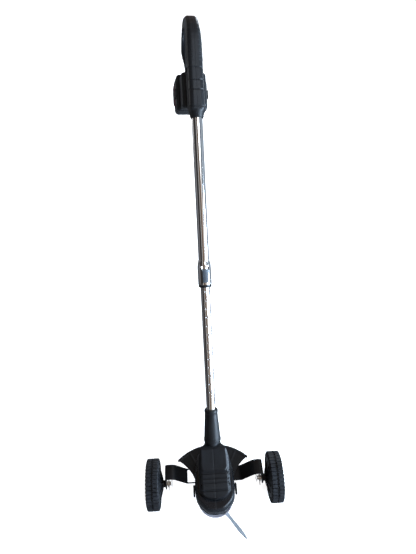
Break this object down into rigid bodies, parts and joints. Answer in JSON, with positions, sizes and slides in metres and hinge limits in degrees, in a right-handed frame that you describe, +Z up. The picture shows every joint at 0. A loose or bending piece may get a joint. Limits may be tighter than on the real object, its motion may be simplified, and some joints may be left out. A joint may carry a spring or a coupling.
{
  "type": "wheeled grass trimmer",
  "caption": "Cordless grass trimmer on a telescopic chromed pole, with a D-shaped battery handle, a swinging plastic blade, a crescent guard and two side wheels.",
  "frame": {"origin": "on the cutter's spindle axis, on the underside of the nut that holds the cutter", "axes": "+Z up along the spindle, the nose of the head towards -Y, the pole leaning back towards +Y and up at 49 degrees to the ground, +X along the wheels' axis"},
  "size_m": [0.337, 0.9164, 0.8842],
  "materials": {
    "shell": "satin black moulded plastic with a fine grain",
    "grip": "soft matt black",
    "chrome": "bright chrome plate on steel tube",
    "zinc": "bright zinc plate",
    "paint": "semi-gloss black powder coat",
    "tyre": "moulded black rubber with a block tread",
    "steel": "dull steel",
    "accent": "dark red plastic",
    "blade": "pale grey-blue nylon",
    "disc": "pale grey plastic",
    "brass": "stamped brass"
  },
  "bodies": {
    "handle": {"handle_shell_left": "shell", "handle_shell_right": "shell", "switch": "grip", "battery_contacts": "brass", "handle_screw_1": "zinc", "handle_screw_2": "zinc", "handle_screw_3": "zinc", "handle_screw_4": "zinc", "outer_tube": "chrome", "lock_sleeve": "chrome", "lock_ring": "shell"},
    "trigger": {"trigger": "shell"},
    "lock_off": {"lock_off_button": "accent"},
    "battery": {"battery_case": "shell", "battery_pad_left": "accent", "battery_pad_right": "accent"},
    "latch_left": {"battery_latch_left": "grip"},
    "latch_right": {"battery_latch_right": "grip"},
    "tube_lock": {"lock_button": "shell"},
    "head": {"inner_tube": "chrome", "tube_bush": "grip", "neck_boot": "grip", "neck_screw": "zinc", "lower_housing": "shell", "upper_cover": "shell", "motor": "steel", "guard": "shell", "guard_screw_1": "zinc", "guard_screw_2": "zinc", "cover_screw_1": "zinc", "cover_screw_2": "zinc", "wheel_bracket": "paint", "bracket_screw_1": "zinc", "bracket_screw_2": "zinc", "bracket_screw_3": "zinc", "bracket_screw_4": "zinc", "side_clip_left": "grip", "side_clip_right": "grip", "axle_left": "zinc", "axle_right": "zinc", "axle_washer_left": "zinc", "axle_washer_right": "zinc", "hairpin_left": "zinc", "hairpin_right": "zinc"},
    "cutter": {"motor_shaft": "steel", "cutter_disc": "disc", "cutter_nut": "zinc", "blade_pin": "zinc"},
    "blade": {"blade": "blade"},
    "wheel_left": {"wheel_hub_left": "shell", "tyre_left": "tyre"},
    "wheel_right": {"wheel_hub_right": "shell", "tyre_right": "tyre"}
  },
  "joints": [
    {"name": "telescope", "type": "slide", "parent": "handle", "child": "head", "axis": [0, 0.6561, 0.7547], "range_m": [0, 0.28]},
    {"name": "tube_lock_slide", "type": "slide", "parent": "handle", "child": "tube_lock", "axis": [0, 0.6561, 0.7547], "range_m": [0, 0.006], "stiffness_N_per_m": 700, "springref_m": -0.001},
    {"name": "trigger_squeeze", "type": "slide", "parent": "handle", "child": "trigger", "axis": [0.1392, -0.7474, 0.6497], "range_m": [0, 0.006], "stiffness_N_per_m": 900, "springref_m": -0.001},
    {"name": "lock_off_push", "type": "slide", "parent": "handle", "child": "lock_off", "axis": [0.9903, 0.105, -0.0913], "range_m": [0, 0.002], "stiffness_N_per_m": 900, "springref_m": -0.0005},
    {"name": "battery_slide", "type": "slide", "parent": "handle", "child": "battery", "axis": [0, -0.6561, -0.7547], "range_m": [0, 0.12]},
    {"name": "latch_left_press", "type": "slide", "parent": "battery", "child": "latch_left", "axis": [0.9903, 0.105, -0.0913], "range_m": [0, 0.0025], "stiffness_N_per_m": 900, "springref_m": -0.0005},
    {"name": "latch_right_press", "type": "slide", "parent": "battery", "child": "latch_right", "axis": [-0.9903, -0.105, 0.0913], "range_m": [0, 0.0025], "stiffness_N_per_m": 900, "springref_m": -0.0005},
    {"name": "cutter_spin", "type": "hinge", "parent": "head", "child": "cutter", "pos_m": [0, 0, 0.006], "axis": [0, 0, 1], "continuous": true},
    {"name": "blade_swing", "type": "hinge", "parent": "cutter", "child": "blade", "pos_m": [0.02082, -0.02814, 0.003], "axis": [0, 0, 1], "range_deg": [-100, 100]},
    {"name": "wheel_left_roll", "type": "hinge", "parent": "head", "child": "wheel_left", "pos_m": [-0.15, 0.039, 0.02], "axis": [1, 0, 0], "continuous": true},
    {"name": "wheel_right_roll", "type": "hinge", "parent": "head", "child": "wheel_right", "pos_m": [0.15, 0.039, 0.02], "axis": [1, 0, 0], "continuous": true}
  ]
}
